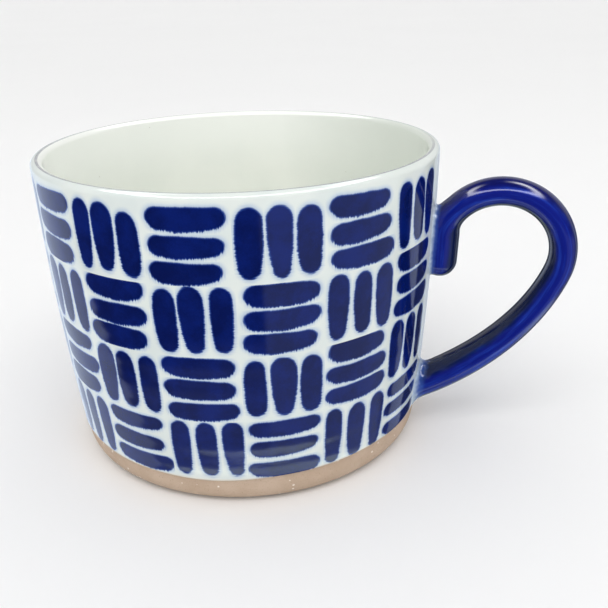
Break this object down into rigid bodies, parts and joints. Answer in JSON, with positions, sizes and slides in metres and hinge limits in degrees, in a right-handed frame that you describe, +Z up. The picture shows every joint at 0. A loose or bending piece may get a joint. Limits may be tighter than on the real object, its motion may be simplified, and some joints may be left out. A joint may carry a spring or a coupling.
{
  "type": "stoneware mug",
  "caption": "Wide glazed stoneware mug with a bare clay heel, a brushed cobalt basket-weave pattern and a cobalt strap handle with a curled upper end.",
  "frame": {"origin": "centre of the flat base, on the cup's axis", "axes": "+Z up along the cup's axis, +X from the axis towards the handle"},
  "size_m": [0.1339, 0.1, 0.0761],
  "materials": {
    "bare_stoneware": "matt bare stoneware with a fine grain",
    "handle_clay": "matt stoneware, hidden under the glaze",
    "luting_slip": "matt fired slip, hidden in the joint",
    "outer_glaze": "glossy clear glaze over white with cobalt brush strokes",
    "liner_glaze": "glossy warm white",
    "cobalt_glaze": "glossy cobalt blue"
  },
  "bodies": {
    "root": {"cup_body": "bare_stoneware", "handle": "handle_clay", "upper_slip_joint": "luting_slip", "lower_slip_joint": "luting_slip", "outer_glaze": "outer_glaze", "liner_glaze": "liner_glaze", "handle_glaze": "cobalt_glaze"}
  },
  "joints": []
}
